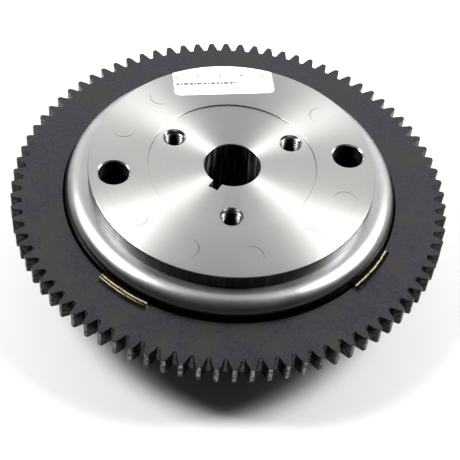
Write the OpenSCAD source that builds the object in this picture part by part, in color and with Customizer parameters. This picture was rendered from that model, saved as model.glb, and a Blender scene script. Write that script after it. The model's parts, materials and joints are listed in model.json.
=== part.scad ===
// Magneto flywheel with a starter ring gear.
// The cup stands on its open rim. The Z axis is the crankshaft axis and Z = 0 is the rim, so the machined
// outer face looks up. The two round windows lie on the X axis. All sizes are in millimetres.

/* [Overall] */
// Height from the open rim to the machined face of the hub flange
overall_h = 56; // [54:0.5:62]

/* [Ring gear] */
// Number of teeth
teeth = 84; // [80:1:90]
// Gear module: the pitch diameter is this times the number of teeth
gear_module = 2.5; // [2.4:0.05:2.6]
// Tooth thickness on the pitch circle, as a share of the tooth pitch
tooth_share = 0.53; // [0.48:0.01:0.56]
// How far tips and roots are moved outwards together, in modules
profile_shift = 0.16; // [0:0.02:0.2]
// Face width of the ring
ring_t = 10; // [8:0.5:12]
// Depth of the hub face above the upper face of the ring
face_above_ring = 17.5; // [16:0.5:19]
// Width of the bevel round the ring's upper inner edge
ring_bevel = 1.2; // [0.8:0.1:2]
// Turn of the first tooth from the X axis, in degrees
tooth_phase = 0.95; // [0:0.05:4.25]

/* [Cup] */
// Outer radius of the cup where it carries the ring gear
shell_r = 81.5; // [80:0.5:84]
// Wall thickness of the skirt
wall_t = 6; // [5.5:0.5:6.5]
// Thickness of the end plate
plate_t = 5.5; // [5:0.5:6]
// Outer radius of the drawn shoulder
shoulder_r = 8.5; // [7:0.5:9]
// Height of the seat lip that the ring gear rests on
seat_lip = 0.8; // [0.5:0.1:1]

/* [Hub] */
// Radius of the hub flange
flange_r = 70; // [68:0.5:71]
// Thickness of the hub flange
flange_t = 8; // [7.5:0.5:8.5]
// Radius of the shallow recess in the machined face
recess_r = 41.2; // [40:0.1:44]
// Depth of that recess
recess_d = 0.6; // [0.3:0.1:1]
// Radius of the boss where it passes through the end plate
boss_r = 40; // [39.5:0.5:41]
// Radius of the boss's nose inside the cup
nose_r = 27; // [25:0.5:29]
// Radius of the crank taper at its small, outer end
taper_small_r = 13.75; // [13:0.25:14.5]
// Run of the crank taper for each millimetre of radius
taper_run = 20; // [16:1:24]
// Radius of the plain bore below the taper
pilot_r = 17.5; // [17:0.25:18]
// Length of that plain bore
pilot_l = 6; // [4:0.5:8]
// Width of the keyway
key_w = 5; // [4:0.5:6]
// Distance from the axis to the keyway's floor
key_floor_r = 18.45; // [18.2:0.05:19]
// Direction of the keyway, in degrees from the X axis
key_angle = 230.6; // [225:0.1:236]

/* [Holes] */
// Radius of the circle that the rivets and windows lie on
rivet_circle_r = 57.75; // [56:0.25:59]
// Radius of each window
window_r = 7.5; // [6.5:0.25:8]
// Radius of the circle of puller holes
puller_circle_r = 33.3; // [32.8:0.1:33.5]
// Radius of a puller hole before threading
puller_r = 4.25; // [3.4:0.05:4.5]
// Direction of the first puller hole, in degrees from the X axis
puller_angle = 20.6; // [15:0.1:25]

/* [Magnets] */
// Number of magnets
magnets = 12; // [10:1:14]
// Radial thickness of a magnet
magnet_t = 8.5; // [7:0.5:9]
// Length of a magnet along the axis
magnet_l = 34; // [30:0.5:34]
// Angle between neighbouring magnets, in degrees
magnet_gap = 3; // [2:0.5:4]
// Thickness of the sheet that holds the magnets in
sheet_t = 0.5; // [0.4:0.1:0.8]

/* [Label] */
// Width of the paper label
label_w = 51.5; // [40:0.5:54]
// Distance from the axis to the label's inner edge
label_inner = 48.8; // [46:0.2:52]
// Length of the label that is folded down over the flange's edge
label_fold = 5; // [3:0.5:7]

/* [Hidden] */
$fn = 120;
eps = 0.01;        // reach of a cutter past the face that it opens

// Ring gear
pitch_r = teeth * gear_module / 2;
tip_r = pitch_r + gear_module * (1 + profile_shift);
root_r = pitch_r - gear_module * (1.25 - profile_shift);
pressure_angle = 20;
base_r = pitch_r * cos(pressure_angle);
tooth_step = 360 / teeth;
ring_top = overall_h - face_above_ring;
ring_bottom = ring_top - ring_t;
tip_round = 0.35;  // rounding of a tooth's tip corners
root_round = 0.7;  // rounding of the corners between flank and root

// Cup
plate_top = overall_h - flange_t;
plate_under = plate_top - plate_t;
cup_inner_r = shell_r - wall_t;
inner_corner_r = 3;
skirt_r = shell_r + seat_lip;
rim_chamfer = 1;

// Trigger lug: the raised bar on the skirt that the ignition pickup senses
lug_r = skirt_r + 1.5;
lug_z = 9;
lug_h = 12;
lug_arc = 28;
lug_angle = 120;

// Hub
recess_z = overall_h - recess_d;
bore_chamfer = 0.4;
boss_end = 12;
boss_step_z = 38;
nose_top_z = 31;
edge_chamfer = 0.5;
pilot_top = boss_end + pilot_l;
taper_big_r = taper_small_r + (recess_z - pilot_top) / taper_run;
puller_depth = 16;
puller_chamfer_r = 5.7;
window_chamfer = 0.6;

// Rivets: ten on a twelve-place circle, the other two places being the windows
hole_places = 12;
rivet_places = [for (i = [0:hole_places - 1]) if (i % (hole_places / 2) != 0) i];
rivet_r = 4.5;
rivet_face_r = 5.75;
rivet_sink = 3;
rivet_head_r = 7.5;
rivet_head_h = 3;
rivet_dome_r = (rivet_head_r * rivet_head_r + rivet_head_h * rivet_head_h) / (2 * rivet_head_h);

// Welds
weld_angles = [225, 315];
weld_arc = 18.5;
weld_width = 4.2;
weld_rise = 1.3;

// Magnets
magnet_outer_r = cup_inner_r;
magnet_inner_r = magnet_outer_r - magnet_t;
magnet_step = 360 / magnets;
magnet_arc = magnet_step - magnet_gap;
magnet_z = 3;
magnet_top = magnet_z + magnet_l;
retainer_r = magnet_inner_r - sheet_t;
lip_drop = 0.5;    // thickness of the retainer's lip under the magnets

// Label
label_t = 0.15;
label_turn = 87.2;
label_shift = -1.5;  // offset of the label's middle along its own length
label_corner = 3;

// A point at radius r and angle a
function at(r, a) = [r * cos(a), r * sin(a)];
// Involute function of an angle, in degrees
function involute(a) = tan(a) * 180 / PI - a;
// Half of a tooth's angular width at radius r
function half_width(r) =
    tooth_step * tooth_share / 2 + involute(pressure_angle) - involute(acos(min(1, base_r / r)));
// One side of a tooth, from the root to the tip, as [radius, angle from the tooth's middle]
flank_radii = [for (i = [0:4]) root_r + root_round + (tip_r - tip_round - root_r - root_round) * i / 4];
function flank() = concat(
    [[root_r, half_width(root_r + root_round) + root_round * 0.9 * 180 / PI / root_r]],
    [[root_r + root_round * 0.3, half_width(root_r + root_round) + root_round * 0.3 * 180 / PI / root_r]],
    [for (r = flank_radii) [r, half_width(r)]],
    [[tip_r - tip_round * 0.3, half_width(tip_r) - tip_round * 0.25 * 180 / PI / tip_r]],
    [[tip_r, half_width(tip_r) - tip_round * 180 / PI / tip_r]]);
// The whole toothed outline
function gear_outline() = [for (k = [0:teeth - 1]) let (middle = tooth_phase + k * tooth_step, side = flank())
    each concat(
        [for (p = side) at(p[0], middle - p[1])],
        [for (i = [len(side) - 1:-1:0]) at(side[i][0], middle + side[i][1])])];

// A solid of revolution swept through an arc that is centred on the given direction
module arc_sweep(arc, direction) {
    rotate([0, 0, direction - arc / 2]) rotate_extrude(angle = arc) children();
}

// Copies at the given places of an evenly divided circle
module around(count, radius, first = 0, places = undef) {
    for (i = is_undef(places) ? [for (k = [0:count - 1]) k] : places)
        rotate([0, 0, first + i * 360 / count]) translate([radius, 0, 0]) children();
}

// Half section of the cup's outside
module shell_outside() {
    polygon([[0, 0], [skirt_r - rim_chamfer, 0], [skirt_r, rim_chamfer], [skirt_r, ring_bottom],
        [shell_r, ring_bottom], [shell_r, plate_top - shoulder_r], [shell_r - shoulder_r, plate_top],
        [0, plate_top]]);
    translate([shell_r - shoulder_r, plate_top - shoulder_r]) circle(r = shoulder_r);
}

// Half section of the space inside the cup
module shell_inside() {
    polygon([[-1, -eps], [cup_inner_r + rim_chamfer + eps, -eps], [cup_inner_r, rim_chamfer],
        [cup_inner_r, plate_under - inner_corner_r], [cup_inner_r - inner_corner_r, plate_under],
        [-1, plate_under]]);
    translate([cup_inner_r - inner_corner_r, plate_under - inner_corner_r]) circle(r = inner_corner_r);
}

// Drawn steel cup: end plate, shoulder, skirt, ring gear seat and trigger lug
module rotor_shell() {
    color("silver") difference() {
        union() {
            rotate_extrude() difference() {
                shell_outside();
                shell_inside();
                translate([-1, -1]) square([boss_r + 1, overall_h + 2]);
            }
            arc_sweep(lug_arc, lug_angle) translate([skirt_r - 1, lug_z]) square([lug_r - skirt_r + 1, lug_h]);
        }
        around(hole_places, rivet_circle_r, 0, rivet_places)
            translate([0, 0, plate_under - 1]) cylinder(r = rivet_r, h = plate_t + 2);
        around(2, rivet_circle_r)
            translate([0, 0, plate_under - 1]) cylinder(r = window_r, h = plate_t + 2);
    }
}

// Half section of the hub, bored for the crank taper
module hub_section() {
    polygon([
        [taper_small_r + bore_chamfer, recess_z], [recess_r, recess_z], [recess_r, overall_h],
        [flange_r - edge_chamfer, overall_h], [flange_r, overall_h - edge_chamfer], [flange_r, plate_top],
        [boss_r, plate_top], [boss_r, boss_step_z], [nose_r, nose_top_z], [nose_r, boss_end + 1],
        [nose_r - 1, boss_end], [pilot_r + 1, boss_end], [pilot_r, boss_end + 1], [pilot_r, pilot_top],
        [taper_big_r, pilot_top], [taper_small_r + bore_chamfer / taper_run, recess_z - bore_chamfer]]);
}

// Forged steel hub: flange on the outside of the cup, boss inside it
module hub() {
    color("gainsboro") difference() {
        rotate_extrude() hub_section();
        rotate([0, 0, key_angle]) translate([0, -key_w / 2, boss_end - 1])
            cube([key_floor_r, key_w, overall_h]);
        around(hole_places, rivet_circle_r, 0, rivet_places) {
            translate([0, 0, plate_top - 1]) cylinder(r = rivet_r, h = flange_t + 2);
            translate([0, 0, overall_h - rivet_sink]) cylinder(r1 = rivet_r, r2 = rivet_face_r, h = rivet_sink);
        }
        around(2, rivet_circle_r) {
            translate([0, 0, plate_top - 1]) cylinder(r = window_r, h = flange_t + 2);
            translate([0, 0, overall_h - window_chamfer])
                cylinder(r1 = window_r, r2 = window_r + window_chamfer, h = window_chamfer);
        }
        around(3, puller_circle_r, puller_angle) {
            translate([0, 0, recess_z - puller_depth]) cylinder(r = puller_r, h = puller_depth + 1);
            translate([0, 0, recess_z - puller_depth - puller_r / 2])
                cylinder(r1 = 0, r2 = puller_r, h = puller_r / 2);
            translate([0, 0, recess_z - (puller_chamfer_r - puller_r)])
                cylinder(r1 = puller_r, r2 = puller_chamfer_r, h = puller_chamfer_r - puller_r);
        }
    }
}

// One rivet: sunk flush in the machined face, domed inside the cup
module rivet() {
    translate([0, 0, overall_h - rivet_sink]) cylinder(r1 = rivet_r, r2 = rivet_face_r, h = rivet_sink);
    translate([0, 0, plate_under - 1]) cylinder(r = rivet_r, h = overall_h - rivet_sink - plate_under + 1);
    intersection() {
        translate([0, 0, plate_under - rivet_head_h + rivet_dome_r]) sphere(r = rivet_dome_r);
        translate([0, 0, plate_under - rivet_head_h - 1]) cylinder(r = rivet_head_r + 1, h = rivet_head_h + 1);
    }
}

// The ten rivets that hold the hub to the cup
module hub_rivets() {
    color("lightgray") around(hole_places, rivet_circle_r, 0, rivet_places) rivet();
}

// Starter ring gear, bored to fit the cup and bevelled for the welds
module ring_gear() {
    color("dimgray") difference() {
        translate([0, 0, ring_bottom]) linear_extrude(height = ring_t) polygon(gear_outline());
        translate([0, 0, ring_bottom - 1]) cylinder(r = shell_r, h = ring_t + 2);
        translate([0, 0, ring_top - ring_bevel])
            cylinder(r1 = shell_r, r2 = shell_r + ring_bevel + eps, h = ring_bevel + eps);
    }
}

// Two weld beads that fill the bevel between the cup and the ring gear
module ring_gear_welds() {
    color("khaki") for (angle = weld_angles)
        arc_sweep(weld_arc, angle)
            polygon([[shell_r, ring_top - ring_bevel], [shell_r + ring_bevel, ring_top],
                [shell_r + weld_width, ring_top], [shell_r + weld_width - 0.4, ring_top + weld_rise / 2],
                [shell_r + weld_width / 2, ring_top + weld_rise], [shell_r, ring_top + weld_rise / 2]]);
}

// One arc magnet; every second one stands with its other pole inwards
module magnet(index) {
    color(index % 2 == 0 ? "slategray" : "darkslategray") arc_sweep(magnet_arc, (index - 0.5) * magnet_step)
        translate([magnet_inner_r, magnet_z]) square([magnet_t, magnet_l]);
}

// Moulded strips that keep the magnets apart
module magnet_spacers() {
    color("black") for (i = [0:magnets - 1]) arc_sweep(magnet_gap, i * magnet_step)
        translate([magnet_inner_r, magnet_z]) square([magnet_t, magnet_l]);
}

// Ring that the magnets stand against, in the corner of the cup
module magnet_seat_ring() {
    color("darkgray") rotate_extrude()
        polygon([[magnet_inner_r, magnet_top], [cup_inner_r, magnet_top],
            [cup_inner_r, plate_under - inner_corner_r - 0.2], [cup_inner_r - inner_corner_r, plate_under - 0.2],
            [magnet_inner_r, plate_under - 0.2]]);
}

// Thin sheet sleeve inside the magnets, turned out under them at the open end
module magnet_retainer() {
    color("lightsteelblue") rotate_extrude()
        polygon([[retainer_r, magnet_z - lip_drop], [cup_inner_r, magnet_z - lip_drop], [cup_inner_r, magnet_z],
            [magnet_inner_r, magnet_z], [magnet_inner_r, plate_under - 0.2], [retainer_r, plate_under - 0.2]]);
}

// Outline of the label's flat part, with its two inner corners rounded
module label_outline() {
    left = -label_w / 2;
    reach = flange_r + 2 - label_inner;
    translate([label_inner, 0]) {
        translate([label_corner, left]) square([reach - label_corner, label_w]);
        translate([0, left + label_corner]) square([label_corner + eps, label_w - 2 * label_corner]);
        for (side = [-1, 1]) translate([label_corner, side * (label_w / 2 - label_corner)]) circle(r = label_corner);
    }
}

// Blank paper label, stuck to the machined face and folded down over its edge
module part_label() {
    fold_arc = 2 * asin(label_w / 2 / flange_r);
    color("white") rotate([0, 0, label_turn]) {
        translate([0, 0, overall_h]) linear_extrude(height = label_t) intersection() {
            translate([0, label_shift]) label_outline();
            circle(r = flange_r - edge_chamfer);
        }
        arc_sweep(fold_arc, label_shift * 180 / PI / flange_r) polygon([
            [flange_r - edge_chamfer - eps, overall_h], [flange_r - edge_chamfer - eps, overall_h + label_t],
            [flange_r - edge_chamfer, overall_h + label_t], [flange_r + label_t, overall_h - edge_chamfer],
            [flange_r + label_t, overall_h - label_fold], [flange_r, overall_h - label_fold],
            [flange_r, overall_h - edge_chamfer], [flange_r - edge_chamfer, overall_h]]);
    }
}

rotor_shell();
hub();
hub_rivets();
ring_gear();
ring_gear_welds();
for (i = [1:magnets]) magnet(i);
magnet_retainer();
magnet_spacers();
magnet_seat_ring();
part_label();
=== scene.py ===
"""Looks of a magneto flywheel: a riveted hub and drawn cup with a starter ring gear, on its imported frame."""

import json
import logging
import math
from dataclasses import dataclass
from enum import Enum

import bmesh
import bpy
from mathutils import Matrix, Quaternion, Vector


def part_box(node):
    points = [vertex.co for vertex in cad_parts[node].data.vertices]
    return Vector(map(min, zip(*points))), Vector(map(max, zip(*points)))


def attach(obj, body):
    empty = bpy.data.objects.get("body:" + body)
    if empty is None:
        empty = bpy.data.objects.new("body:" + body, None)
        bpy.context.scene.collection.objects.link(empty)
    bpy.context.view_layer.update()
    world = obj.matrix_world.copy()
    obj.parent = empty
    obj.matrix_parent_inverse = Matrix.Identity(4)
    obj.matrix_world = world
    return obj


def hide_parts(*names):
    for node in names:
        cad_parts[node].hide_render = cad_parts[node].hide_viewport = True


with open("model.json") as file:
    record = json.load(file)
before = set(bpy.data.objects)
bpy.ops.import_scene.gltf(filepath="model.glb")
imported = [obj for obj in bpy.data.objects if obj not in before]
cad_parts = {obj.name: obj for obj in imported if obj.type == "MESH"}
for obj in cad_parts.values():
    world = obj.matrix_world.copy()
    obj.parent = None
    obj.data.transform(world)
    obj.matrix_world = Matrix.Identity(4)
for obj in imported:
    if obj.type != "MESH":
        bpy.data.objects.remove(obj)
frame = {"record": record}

LOG = logging.getLogger("flywheel")
MM = 0.001
FULL_TURN = 2 * math.pi
ARC_STEP = math.radians(12)  # largest bend between two points of a rounded corner
JOIN_MM = 1e-5  # points closer than this become one
PAST = 1.0  # how far a cutting tool reaches past what it cuts, in millimetres
HOLE_SEGMENTS = 72
RING_SEGMENTS = 240
NO_GAP = 1000  # Gap for copies round the axis that leave out no place
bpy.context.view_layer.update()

Point = tuple[float, float]
Corner = tuple[float, float, float]


class Slot(Enum):
    """Material slots of the record."""

    TURNED = "turned_steel"
    DRAWN = "drawn_steel"
    OXIDE = "black_oxide_steel"
    RIVET = "rivet_steel"
    WELD = "weld_metal"
    MAGNET = "ferrite_magnet"
    SHEET = "retainer_sheet"
    SPACER = "spacer_plastic"
    SEAT = "seat_aluminium"
    PAPER = "label_paper"


class Cut(Enum):
    """What a boolean does with its tools."""

    TAKE_AWAY = "DIFFERENCE"
    ADD = "UNION"


# ---------------------------------------------------------------- frame readings


def top_of(node: str) -> float:
    """Highest point of a CAD node, in millimetres."""
    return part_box(node)[1].z / MM


def bottom_of(node: str) -> float:
    """Lowest point of a CAD node, in millimetres."""
    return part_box(node)[0].z / MM


def radius_of(node: str) -> float:
    """Largest reach of a CAD node from the axis along X, in millimetres."""
    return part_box(node)[1].x / MM


def mount_size(mount: str, key: str) -> float:
    """A dimension of one of the record's mounts, in the record's own unit.

    Args:
        mount: The mount's name.
        key: The dimension's key, such as r_mm.

    Returns:
        The stated size.
    """
    found = next(m for m in frame["record"]["mounts"] if m["name"] == mount)
    return found["dims"][key]


# ---------------------------------------------------------------- mesh helpers


def rounded_loop(corners: list[Corner]) -> list[Point]:
    """Rounds the corners of a closed outline.

    Args:
        corners: Each corner as (x, z, radius); a radius of 0 leaves it sharp.

    Returns:
        The outline's points, with arcs where corners were rounded.
    """
    points: list[Point] = []
    for index, (x, z, radius) in enumerate(corners):
        here = Vector((x, z))
        if radius <= 0:
            points.append((x, z))
            continue
        before = (Vector(corners[index - 1][:2]) - here).normalized()
        after = (Vector(corners[(index + 1) % len(corners)][:2]) - here).normalized()
        half = before.angle(after) / 2
        centre = here + (before + after).normalized() * radius / math.sin(half)
        start = here + before * radius / math.tan(half) - centre
        end = here + after * radius / math.tan(half) - centre
        turn = math.atan2(start.x * end.y - start.y * end.x, start.dot(end))
        steps = max(2, math.ceil(abs(turn) / ARC_STEP))
        for step in range(steps + 1):
            angle = turn * step / steps
            turned = Vector((
                start.x * math.cos(angle) - start.y * math.sin(angle),
                start.x * math.sin(angle) + start.y * math.cos(angle),
            ))
            points.append(tuple(centre + turned))
    return points


def polar(radius: float, angle: float, height: float) -> tuple[float, float, float]:
    """The point at a radius, an angle round the axis and a height."""
    return radius * math.cos(angle), radius * math.sin(angle), height


def freed(build: bmesh.types.BMesh, name: str) -> bpy.types.Mesh:
    """Turns a bmesh into a mesh as it stands and frees the bmesh.

    Args:
        build: The bmesh, which is gone afterwards.
        name: Name of the mesh.

    Returns:
        The mesh.
    """
    mesh = bpy.data.meshes.new(name)
    build.to_mesh(mesh)
    build.free()
    return mesh


def mesh_from(build: bmesh.types.BMesh, name: str) -> bpy.types.Mesh:
    """Turns a closed bmesh into a mesh with joined points and outward faces.

    Args:
        build: The bmesh, which is gone afterwards.
        name: Name of the mesh.

    Returns:
        The mesh.
    """
    bmesh.ops.remove_doubles(build, verts=build.verts, dist=JOIN_MM)
    bmesh.ops.recalc_face_normals(build, faces=build.faces)
    return freed(build, name)


def revolve(name: str, loop: list[Point], segments: int) -> bpy.types.Mesh:
    """Turns a closed half section round the Z axis.

    Args:
        name: Name of the mesh.
        loop: Points (radius, height) of the closed section; points on the axis become poles.
        segments: Number of steps in the full turn.

    Returns:
        A closed mesh in the loop's unit.
    """
    build = bmesh.new()
    rings = []
    for radius, height in loop:
        count = 1 if radius < JOIN_MM else segments
        rings.append([build.verts.new(polar(radius, FULL_TURN * k / segments, height)) for k in range(count)])
    for ring, following in zip(rings, rings[1:] + rings[:1]):
        if len(ring) == len(following) == 1:
            continue
        for k in range(segments):
            corners = (
                ring[k % len(ring)], ring[(k + 1) % len(ring)],
                following[(k + 1) % len(following)], following[k % len(following)],
            )
            build.faces.new(list(dict.fromkeys(corners)))
    return mesh_from(build, name)


def sweep(name: str, loop: list[Point], start: float, end: float, segments: int) -> bpy.types.Mesh:
    """Sweeps a closed half section through part of a turn and caps its ends.

    Args:
        name: Name of the mesh.
        loop: Points (radius, height) of the closed section, off the axis.
        start: First angle, in radians.
        end: Last angle, in radians.
        segments: Number of steps between them.

    Returns:
        A closed mesh in the loop's unit.
    """
    build = bmesh.new()
    columns = []
    for k in range(segments + 1):
        angle = start + (end - start) * k / segments
        columns.append([build.verts.new(polar(r, angle, z)) for r, z in loop])
    for column, following in zip(columns, columns[1:]):
        for k in range(len(loop)):
            other = (k + 1) % len(loop)
            build.faces.new((column[k], column[other], following[other], following[k]))
    build.faces.new(columns[0])
    build.faces.new(columns[-1])
    return mesh_from(build, name)


def block(name: str, low: Vector, high: Vector) -> bpy.types.Mesh:
    """Makes a plain box, used only as a cutting tool.

    Args:
        name: Name of the mesh.
        low: The box's lowest corner.
        high: Its highest corner.

    Returns:
        A closed mesh.
    """
    build = bmesh.new()
    bmesh.ops.create_cube(build, size=1.0)
    middle, size = (low + high) / 2, high - low
    for vert in build.verts:
        vert.co = Vector(middle[i] + vert.co[i] * size[i] for i in range(3))
    return mesh_from(build, name)


def placed(mesh: bpy.types.Mesh, radius: float, angle: float) -> bpy.types.Mesh:
    """Copies a mesh, moves it out along X and turns it round the axis.

    Args:
        mesh: The mesh to copy.
        radius: How far out the copy goes.
        angle: How far it is then turned, in radians.

    Returns:
        The copy.
    """
    copy = mesh.copy()
    copy.transform(Matrix.Rotation(angle, 4, "Z") @ Matrix.Translation((radius, 0, 0)))
    return copy


def in_scene(name: str, data: bpy.types.ID) -> bpy.types.Object:
    """Makes an object and links it into the scene.

    Args:
        name: The object's name.
        data: Its mesh, lamp or camera.

    Returns:
        The object.
    """
    item = bpy.data.objects.new(name, data)
    bpy.context.scene.collection.objects.link(item)
    return item


def worked_in(item: bpy.types.Object) -> bpy.types.Mesh:
    """Works an object's modifiers into a plain mesh and removes the object.

    Args:
        item: The object, which is gone afterwards.

    Returns:
        The plain mesh.
    """
    depsgraph = bpy.context.evaluated_depsgraph_get()
    mesh = bpy.data.meshes.new_from_object(item.evaluated_get(depsgraph))
    bpy.data.objects.remove(item)
    return mesh


def boolean(body: bpy.types.Mesh, tools: list[bpy.types.Mesh], cut: Cut) -> bpy.types.Mesh:
    """Adds tools to a body, or takes them away, all at once.

    Args:
        body: The closed mesh to change.
        tools: Closed meshes that don't overlap each other.
        cut: Whether the tools are taken away or added.

    Returns:
        The changed mesh, as a new one.
    """
    joined = bmesh.new()
    for tool in tools:
        joined.from_mesh(tool)
    target = in_scene("target", body)
    cutter = in_scene("cutter", freed(joined, "tools"))
    modifier = target.modifiers.new("boolean", "BOOLEAN")
    modifier.operation = cut.value
    modifier.solver = "EXACT"
    modifier.object = cutter
    result = worked_in(target)
    bpy.data.objects.remove(cutter)
    return result


# ---------------------------------------------------------------- node helpers


def add_node(
    tree: bpy.types.NodeTree, kind: str, settings: dict | None = None, inputs: dict | None = None
) -> bpy.types.Node:
    """Adds a node to a shader or geometry tree.

    Args:
        tree: The tree that gets the node.
        kind: The node's type name.
        settings: Properties to set on the node.
        inputs: Values, or sockets to link from, by input name or index.

    Returns:
        The new node.
    """
    node = tree.nodes.new(kind)
    for key, value in (settings or {}).items():
        setattr(node, key, value)
    for key, value in (inputs or {}).items():
        if isinstance(value, bpy.types.NodeSocket):
            tree.links.new(value, node.inputs[key])
        else:
            node.inputs[key].default_value = value
    return node


def through_tree(mesh: bpy.types.Mesh, tree: bpy.types.NodeTree, values: dict) -> bpy.types.Mesh:
    """Runs a mesh through a Geometry Nodes tree and returns the plain result.

    Args:
        mesh: The tree's input geometry.
        tree: The tree.
        values: Input values by the inputs' names.

    Returns:
        The resulting mesh, free of modifiers.
    """
    item = in_scene("through_tree", mesh)
    modifier = item.modifiers.new("tree", "NODES")
    modifier.node_group = tree
    for socket in tree.interface.items_tree:
        if socket.item_type == "SOCKET" and socket.in_out == "INPUT" and socket.name in values:
            modifier[socket.identifier] = values[socket.name]
    return worked_in(item)


def new_tree(name: str, sockets: dict[str, str]) -> tuple[bpy.types.NodeTree, bpy.types.Node, bpy.types.Node]:
    """Starts a geometry tree with named inputs and one geometry output.

    Args:
        name: The tree's name.
        sockets: Socket type of each input, by name, the geometry first.

    Returns:
        The tree, its input node and its output node.
    """
    tree = bpy.data.node_groups.new(name, "GeometryNodeTree")
    for label, kind in sockets.items():
        tree.interface.new_socket(name=label, in_out="INPUT", socket_type=kind)
    tree.interface.new_socket(name="Geometry", in_out="OUTPUT", socket_type="NodeSocketGeometry")
    return tree, add_node(tree, "NodeGroupInput"), add_node(tree, "NodeGroupOutput")


def lift_and_send(
    tree: bpy.types.NodeTree, given: bpy.types.Node, result: bpy.types.Node,
    geometry: bpy.types.NodeSocket, height: bpy.types.NodeSocket,
) -> None:
    """Ends a geometry tree: lifts what it made, gives it the Finish input and sends it out.

    Args:
        tree: The tree.
        given: Its input node, with a Finish input.
        result: Its output node.
        geometry: What the tree made.
        height: How far that is lifted.
    """
    base = add_node(tree, "ShaderNodeCombineXYZ", inputs={"Z": height})
    raised = add_node(tree, "GeometryNodeTransform", inputs={
        "Geometry": geometry, "Translation": base.outputs[0],
    })
    real = add_node(tree, "GeometryNodeRealizeInstances", inputs={"Geometry": raised.outputs[0]})
    finished = add_node(tree, "GeometryNodeSetMaterial", inputs={
        "Geometry": real.outputs[0], "Material": given.outputs["Finish"],
    })
    tree.links.new(finished.outputs[0], result.inputs["Geometry"])


def copies_round_axis() -> bpy.types.NodeTree:
    """Makes a tree that sets copies Step apart round the axis and leaves out every Gap-th place.

    Returns:
        The tree. Radius moves each copy out, and Spin turns it at random about its own axis.
    """
    tree, given, result = new_tree("copies_round_axis", {
        "Geometry": "NodeSocketGeometry", "Places": "NodeSocketInt", "Gap": "NodeSocketInt",
        "Step": "NodeSocketFloat", "First Angle": "NodeSocketFloat", "Radius": "NodeSocketFloat",
        "Spin": "NodeSocketFloat", "Seed": "NodeSocketInt", "Finish": "NodeSocketMaterial",
    })
    number = add_node(tree, "GeometryNodeInputIndex").outputs["Index"]
    angle = add_node(tree, "ShaderNodeMath", {"operation": "MULTIPLY_ADD"}, {
        0: number, 1: given.outputs["Step"], 2: given.outputs["First Angle"],
    })
    reach = add_node(tree, "ShaderNodeCombineXYZ", inputs={"X": given.outputs["Radius"]})
    position = add_node(tree, "ShaderNodeVectorRotate", {"rotation_type": "Z_AXIS"}, {
        "Vector": reach.outputs[0], "Angle": angle.outputs[0],
    })
    spin = add_node(tree, "FunctionNodeRandomValue", {"data_type": "FLOAT"}, {
        2: 0.0, 3: given.outputs["Spin"], "Seed": given.outputs["Seed"],
    })
    turned = add_node(tree, "ShaderNodeMath", {"operation": "ADD"}, {0: angle.outputs[0], 1: spin.outputs[1]})
    rotation = add_node(tree, "ShaderNodeCombineXYZ", inputs={"Z": turned.outputs[0]})
    place = add_node(tree, "ShaderNodeMath", {"operation": "MODULO"}, {0: number, 1: given.outputs["Gap"]})
    # Half a place short of the one left out, so that whole numbers compare safely.
    last = add_node(tree, "ShaderNodeMath", {"operation": "SUBTRACT"}, {0: given.outputs["Gap"], 1: 1.5})
    kept = add_node(tree, "FunctionNodeCompare", {"data_type": "FLOAT", "operation": "LESS_THAN"}, {
        0: place.outputs[0], 1: last.outputs[0],
    })
    points = add_node(tree, "GeometryNodePoints", inputs={
        "Count": given.outputs["Places"], "Position": position.outputs[0],
    })
    copies = add_node(tree, "GeometryNodeInstanceOnPoints", inputs={
        "Points": points.outputs[0], "Selection": kept.outputs[0], "Instance": given.outputs["Geometry"],
        "Rotation": rotation.outputs[0],
    })
    real = add_node(tree, "GeometryNodeRealizeInstances", inputs={"Geometry": copies.outputs[0]})
    merged = add_node(tree, "GeometryNodeMergeByDistance", inputs={
        "Geometry": real.outputs[0], "Distance": 0.001,
    })
    finished = add_node(tree, "GeometryNodeSetMaterial", inputs={
        "Geometry": merged.outputs[0], "Material": given.outputs["Finish"],
    })
    tree.links.new(finished.outputs[0], result.inputs["Geometry"])
    return tree


def piece(
    name: str, mesh: bpy.types.Mesh, slot: Slot, material: bpy.types.Material,
    stands_for: tuple[str, ...] = (), smooth_under: float = 32.0,
) -> bpy.types.Object:
    """Makes a finished piece of the object from a mesh in millimetres.

    Args:
        name: The piece's name.
        mesh: Its mesh, in the row frame, in millimetres.
        slot: The record's slot, which is only logged.
        material: Its material.
        stands_for: CAD nodes that it replaces.
        smooth_under: Edges that bend less than this many degrees are shaded smooth.

    Returns:
        The piece, riding on the root body.
    """
    mesh.transform(Matrix.Scale(MM, 4))
    mesh.materials.clear()
    mesh.materials.append(material)
    mesh.polygons.foreach_set("material_index", [0] * len(mesh.polygons))
    mesh.shade_smooth()
    mesh.set_sharp_from_angle(angle=math.radians(smooth_under))
    mesh.name = name
    made = in_scene(name, mesh)
    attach(made, "root")
    if stands_for:
        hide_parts(*stands_for)
    LOG.info("%s: %d faces, slot %s, stands for %s", name, len(mesh.polygons), slot.value, list(stands_for))
    return made


# ---------------------------------------------------------------- finishes


def linear(code: str) -> tuple[float, float, float, float]:
    """Turns an sRGB colour into a linear one.

    Args:
        code: The colour as hex, such as #A0A0A0.

    Returns:
        Linear red, green, blue and a full alpha.
    """
    parts = [int(code[i:i + 2], 16) / 255 for i in (1, 3, 5)]
    red, green, blue = (c / 12.92 if c <= 0.04045 else ((c + 0.055) / 1.055) ** 2.4 for c in parts)
    return red, green, blue, 1.0


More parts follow.
